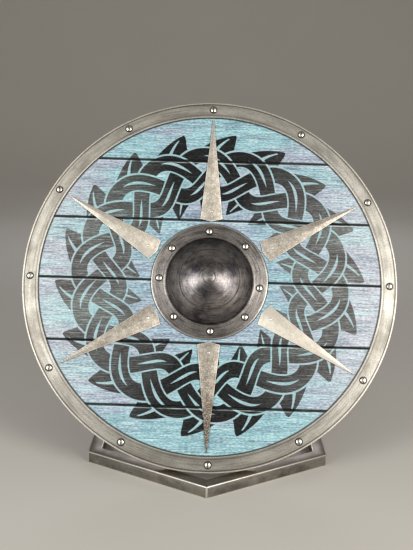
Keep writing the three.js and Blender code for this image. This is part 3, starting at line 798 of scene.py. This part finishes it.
spike_outline = [(-SPIKE_WIDTH / 2, 0), (0, -SPIKE_POINT), (SPIKE_WIDTH / 2, 0)]
spike_outline += [(SPIKE_TIP, SPIKE_LENGTH - 1), (0, SPIKE_LENGTH), (-SPIKE_TIP, SPIKE_LENGTH - 1)]
for number, (base, aim) in enumerate(zip(SPIKE_SEAT, SPIKE_AIM), start=1):
    foot = Vector((*polar(SPIKE_BASE, base), -SHEET)) * MM
    pointed = Matrix.Rotation(radians(aim - 90), 4, "Z")
    set_at = leaned @ in_plane_turn @ Matrix.Translation(foot) @ pointed
    plate = cut_plate(f"spike_plate_{number}", spike_outline, SPIKE_THICK, SPIKE_BEVEL)
    tell_finish(plate, "painted_plate_light", PAINTED_PLATE_LIGHT[number - 1])
    tell_finish(plate, "painted_dark_reflection", float(number == DARK_REFLECTION_SPIKE))
    fit(plate, set_at, spike_steel, "spike_steel", f"spike_{number}")

# %% [markdown]
# ## Polished screws and nails
# Round-head wood screws with one slot, nickel bright. A head is turned from a profile, its slot is
# cut with a box by a boolean, as a saw does, and its edges are eased so that each catches a line of
# light. All the screws of one length share a mesh.

# %% Bright screw steel
screw_steel, add = new_finish("bright_screw_steel")
head_at = on_piece(add)
polish = add("TexNoise", head_at, 0.5, 3, 0.6)
colour = add("Mix RGBA", add("MapRange", polish, 0.35, 0.65), "#c9c4ba", "#efeae0")
head_split = add("SeparateXYZ", head_at)
head_edge = add("VectorMath LENGTH", add("VectorMath MULTIPLY", head_at, (1, 1, 0)), out="Value")
# painted shade with dirt in the saw slot, and painted shade round the edge of the head
beside_slot = add("Math ABSOLUTE", head_split.node.outputs["Y"])
slot_shade_and_dirt = add("Math MULTIPLY", add("MapRange", beside_slot, 0.45, 0.85, 0.95, 0),
                add("Math GREATER_THAN", head_split.node.outputs["Z"], 1))
screw_shade_and_dirt = add("Math MAXIMUM", slot_shade_and_dirt, add("MapRange", head_edge, 3.9, 4.8, 0, 0.95))
colour = add("Mix RGBA", screw_shade_and_dirt, colour, "#26221f")
roughness = add("MapRange", polish, 0.3, 0.7, 0.34, 0.26)
end_finish(screw_steel, add, colour, roughness, polish, 0.2, 0.2, Metallic=1.0)

# %% Screw and nail meshes
SLOT_WIDTH, SLOT_DEPTH, SLOT_EASE, POINT = 1.3, 1.5, 0.15, 3


def fastener(name, length, head_radius=HEAD_RADIUS, rise=2.8, shank=1.9, slotted=True):
    """A domed head on a shank, with a saw slot if it is a screw."""
    turns = [pi / 2 * k / 9 for k in range(9)]
    profile = [(head_radius * sin(t), rise * cos(t) ** 0.8) for t in turns]
    profile += [(head_radius, 0.25), (head_radius * 0.98, 0)]
    profile += [(shank, 0), (shank, POINT - length), (0, -length)]
    data = turned(name, profile, 40, closed=False)
    if not slotted:
        return data
    side, floor_z, above = SLOT_WIDTH / 2, rise - SLOT_DEPTH, rise + 1
    blade = [(-side, floor_z), (side, floor_z), (side, above), (-side, above)]
    head = put_in_scene("head_to_saw", data)
    saw = put_in_scene("saw", skin("saw", [[(x, y, z) for y, z in blade] for x in (-8, 8)], caps=True))
    cut = head.modifiers.new("slot", "BOOLEAN")
    cut.object, cut.operation, cut.solver = saw, "DIFFERENCE", "EXACT"
    ease = head.modifiers.new("ease", "BEVEL")
    ease.width, ease.segments = SLOT_EASE * MM, 2
    ease.limit_method, ease.angle_limit = "ANGLE", radians(40)
    sawn = bpy.data.meshes.new_from_object(head.evaluated_get(bpy.context.evaluated_depsgraph_get()))
    for tool in (head, saw):
        bpy.data.objects.remove(tool)
    bpy.data.meshes.remove(data)
    sawn.name = name
    sawn.polygons.foreach_set("use_smooth", [True] * len(sawn.polygons))
    sawn.set_sharp_from_angle(angle=radians(35))
    return sawn


front_screw = fastener("round_head_screw", 14)
grip_screw = fastener("long_round_head_screw", 29)
spike_nail = fastener("spike_nail", 14, head_radius=1.9, rise=0.8, shank=0.9, slotted=False)
for data in (front_screw, grip_screw, spike_nail):
    data.materials.append(screw_steel)
print("screw:", len(front_screw.polygons), "faces; nail:", len(spike_nail.polygons), "faces")

# %% [markdown]
# ## Setting the fasteners
# Twelve screws hold the rim, eight the flange and six the grip from behind, and one nail holds each
# spike. They were set by eye, so their angles wander by a degree or two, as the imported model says.

# %% Fasteners in place
GRIP_HEIGHTS = [-222, -152, -82, 82, 152, 222]
SEAT_GAP, GRIP_SEAT, NAIL_UP = 0.3, -38.9, 13


def drive(mesh, name, x, y, z, slot_angle, node, from_behind=False):
    """Sets one fastener: its head's seat at z, its slot at an angle."""
    flip = Matrix.Rotation(pi if from_behind else 0.0, 4, "X")
    turn = Matrix.Rotation(radians(slot_angle), 4, "Z")
    place = leaned @ in_plane_turn @ Matrix.Translation(Vector((x, y, z)) * MM) @ flip @ turn
    put_piece(name, mesh, place, "screw_steel", node)


for i, (x, y) in enumerate(RIM_SEATS):
    drive(front_screw, f"rim_fixing_{i + 1}", x, y, SEAT_GAP, 88 + 3 * (i % 4), f"rim_screw_{i + 1}")
for i, (x, y) in enumerate(BOSS_SEATS):
    drive(front_screw, f"boss_fixing_{i + 1}", x, y, SEAT_GAP, 82 + 7 * (i % 3), f"boss_screw_{i + 1}")
for i, height in enumerate(GRIP_HEIGHTS):
    drive(grip_screw, f"grip_fixing_{i + 1}", 0, height, GRIP_SEAT, 15 * i, f"grip_screw_{i + 1}", True)
for i, (base, aim) in enumerate(zip(SPIKE_SEAT, SPIKE_AIM)):
    x, y = [foot + up for foot, up in zip(polar(SPIKE_BASE, base), polar(NAIL_UP, aim))]
    drive(spike_nail, f"spike_pin_{i + 1}", x, y, SPIKE_THICK - SHEET + SEAT_GAP, 0, f"spike_nail_{i + 1}")
print("set", len(RIM_SEATS) + len(BOSS_SEATS) + len(GRIP_HEIGHTS), "screws and", len(SPIKE_SEAT), "nails")

# %% [markdown]
# ## Grip
# One ash batten runs down the back across all six boards, and the hand holds its middle, behind
# the boss. Its arrises are rounded over with a plane, so its section's corners are short arcs. We
# run that section up the batten and ease the ends too.

# %% Batten
GRIP_HALF_WIDTH, GRIP_FRONT, GRIP_BACK, GRIP_HALF_LENGTH, GRIP_ROUND = 17.0, -18.6, -38.6, 240.0, 4.0


def batten_section(y, ease):
    """The batten's section at height y, drawn in by ease at the ends."""
    side = GRIP_HALF_WIDTH - ease
    middle_x, middle_z = side - GRIP_ROUND, GRIP_BACK + ease + GRIP_ROUND
    turns = [pi / 2 * k / 6 for k in range(7)]
    half = [(side, GRIP_FRONT)]
    half += [(middle_x + GRIP_ROUND * cos(t), middle_z - GRIP_ROUND * sin(t)) for t in turns]
    wobble = 0.15 * noise.noise((y / 30, 3.3, 0))
    return [(x + wobble, y, z) for x, z in half] + [(-x + wobble, y, z) for x, z in reversed(half)]


heights = [(-GRIP_HALF_LENGTH, 1.6), (-GRIP_HALF_LENGTH + 0.5, 0.7), (-GRIP_HALF_LENGTH + 1.6, 0.15)]
heights += [(y, 0.15) for y in range(-230, 231, 20)]
heights += [(-y, ease) for y, ease in reversed(heights[:3])]
batten = skin("grip_batten_bar", [batten_section(y, ease) for y, ease in heights], caps=True)
batten_ash = oiled_ash.copy()
batten_ash.name = "oiled_ash_upright"
grain_scale = [n for n in batten_ash.node_tree.nodes if n.type == "VECT_MATH"]
for n in grain_scale[1:]:
    wide, narrow, deep = n.inputs[1].default_value
    n.inputs[1].default_value = (narrow, wide, deep)
fit(batten, leaned, batten_ash, "bare_wood", "grip_batten")

# %% [markdown]
# ## Ground steel for the stand
# The stand is black mild-steel bar. The mill scale was ground off with a flap wheel, which leaves
# dark grey steel with short cross scratches; the arrises were broken with a file and are painted pale, as
# filed steel with a painted highlight.

# %% Ground stand steel
stand_steel, add = new_finish("ground_bar_steel")
bar_at = on_piece(add)
scale_cloud = add("TexNoise", bar_at, 0.03, 5, 0.65)
grind = add("TexNoise", add("VectorMath MULTIPLY", bar_at, (1 / 25, 1 / 25, 1 / 1.6)), 1, 2, 0.6)
colour = add("Mix RGBA", add("MapRange", scale_cloud, 0.32, 0.68), "#6c6964", "#a5a29a")
colour = add("Mix RGBA", add("MapRange", grind, 0.5, 0.34, 0, 0.4), colour, "#4a4641")
# painted shade: the top face of the bars is laid over with an even, browner grey
height = add("SeparateXYZ", bar_at, out="Z")
painted_top_shade = add("Math MULTIPLY", add("MapRange", height, 19.4, 19.9, 0, 0.65),
               add("MapRange", height, 20.6, 20.2))
colour = add("Mix RGBA", painted_top_shade, colour, "#857c73")
# painted highlight: the filed arrises are painted pale, as filed steel catching the light
colour = add("Mix RGBA", add("Attribute", attribute_name="filed_edge_and_highlight", out="Fac"), colour, "#e0dacf")
roughness = add("MapRange", scale_cloud, 0.3, 0.7, 0.50, 0.36)
end_finish(stand_steel, add, colour, roughness, grind, 0.3, 0.4, Metallic=1.0)

# %% [markdown]
# ## The stand
# Six bars are mitred and welded to a hexagon that lies flat with one corner to the front. Two
# legs rise from its rear bars to pads against the back of the boards, with a tie between them.
# Each bar is a box whose long edges are bevelled; the welds are short lumpy beads.

# %% Hexagon of bar
BAR_WIDTH, BAR_HEIGHT, STAND_RADIUS = 22.0, 20.0, 228.0
INNER_RADIUS = STAND_RADIUS - BAR_WIDTH / cos(radians(30))


def bevelled(mesh, size):
    """Bevels every sharp edge of a mesh, as a file breaks an arris."""
    sharp = [e for e in mesh.edges if e.calc_face_angle(0) > radians(40)]
    bmesh.ops.bevel(mesh, geom=sharp, offset=size * MM, segments=2, profile=0.5, affect="EDGES")


stand = bmesh.new()
bar_corners = ((STAND_RADIUS, 0), (STAND_RADIUS, BAR_HEIGHT), (INNER_RADIUS, BAR_HEIGHT), (INNER_RADIUS, 0))
rings = [[stand.verts.new(Vector((*polar(r, 60 * k - 90), z)) * MM) for k in range(6)]
         for r, z in bar_corners]
join_rings(stand, rings, loop=True)
bmesh.ops.recalc_face_normals(stand, faces=stand.faces)
bevelled(stand, 1.6)

# %% Legs, tie, pads
LEG_BAR, PAD_SIZE, PAD_THICK, PAD_X, PAD_UP = 14.0, 44.0, 4.0, 70.0, 115.0
lean_mm = Matrix.Translation(shield_at) @ lean_back
pad_front = BOARD_BACK - 0.3


def add_box(size, place, bevel):
    """A bevelled box of bar or plate, in millimetres, added to the stand."""
    made = bmesh.new()
    bmesh.ops.create_cube(made, size=1.0, matrix=Matrix.Diagonal((*[s * MM for s in size], 1)))
    bevelled(made, bevel)
    data = bpy.data.meshes.new("bar")
    place = Matrix.Translation(place.translation * MM) @ place.to_quaternion().to_matrix().to_4x4()
    bmesh.ops.transform(made, matrix=place, verts=made.verts)
    made.to_mesh(data)
    made.free()
    stand.from_mesh(data)
    bpy.data.meshes.remove(data)


def bar_between(start, end):
    """A square bar from one point to another, its sides square to the floor's left and right."""
    way = end - start
    side = Vector((0, -1, 0)).cross(way).normalized()
    turn = Matrix((side, way.normalized().cross(side), way.normalized())).transposed().to_4x4()
    add_box((LEG_BAR, LEG_BAR, way.length), Matrix.Translation((start + end) / 2) @ turn, 0.8)


legs = []
for side in (-1, 1):
    apothem = STAND_RADIUS * cos(radians(30)) - BAR_WIDTH / 2
    foot = Vector((*polar(apothem, 90 - side * 30), BAR_HEIGHT * 0.6))
    head = lean_mm @ Vector((side * PAD_X, PAD_UP, pad_front - PAD_THICK * 0.6))
    bar_between(foot, head)
    pad = lean_mm @ Matrix.Translation((side * PAD_X, PAD_UP, pad_front - PAD_THICK / 2))
    add_box((PAD_SIZE, PAD_SIZE, PAD_THICK), pad, 0.6)
    legs.append((foot, head))
bar_between(*[foot.lerp(head, 0.45) for foot, head in legs])
print("legs are", round((legs[0][1] - legs[0][0]).length), "mm long")

# %% Weld beads and the finished stand
def weld(points, size, seed):
    """A bead of weld along points: a lumpy tube, each ring a little off the last."""
    rows = []
    for k, (at, after) in enumerate(zip(points, points[1:] + [points[-1] * 2 - points[-2]])):
        way = (after - at).normalized()
        side = way.orthogonal().normalized()
        other = way.cross(side)
        lump = size * (1 + 0.22 * sin(k * 2.1) + 0.15 * noise.noise((k * 0.7, seed, 0)))
        rows.append([stand.verts.new((at + lump * (cos(t) * side + sin(t) * other)) * MM)
                     for t in [2 * pi * j / 8 for j in range(8)]])
    join_rings(stand, rows, caps=True)


def weld_round(middle, up_way, bead, seed):
    """A bead round a leg's end, whose sides run left to right and up_way."""
    out = LEG_BAR / 2 + 0.6
    corners = [middle + out * (a * Vector((1, 0, 0)) + b * up_way)
               for a, b in ((-1, -1), (1, -1), (1, 1), (-1, 1), (-1, -1))]
    sides = zip(corners, corners[1:])
    weld([start.lerp(end, k / 7) for start, end in sides for k in range(7)] + [corners[-1]], bead, seed)


bar_faces = len(stand.faces)
for seed, (foot, head) in enumerate(legs):
    rise = (head - foot).normalized()
    on_bar = foot + rise * ((BAR_HEIGHT - foot.z) / rise.z)
    weld_round(on_bar, Vector((0, 1, 0)), 1.3, seed)
    up_pad, normal = [lean_mm.to_3x3() @ Vector(axis) for axis in ((0, 1, 0), (0, 0, 1))]
    under_pad = head - rise * (2.5 / max(abs(rise.dot(normal)), 0.2))
    weld_round(under_pad, up_pad, 1.2, seed + 4)
stand_mesh = finish_mesh("stand_weldment", stand, 40)
print("filed faces on the stand:", mark_filed_and_highlit(stand_mesh, 1.8, bar_faces))
fit(stand_mesh, Matrix.Identity(4), stand_steel, "stand_steel", "stand")

# %% [markdown]
# ## The two boxes
# We print the imported model's box and the dressed model's box side by side. The dressed
# model has to stay inside the imported one.

# %% The two boxes
seen_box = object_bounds()
for what, box in (("CAD", cad_box), ("scene", seen_box)):
    print(what, "box", [[round(v, 4) for v in c] for c in box])
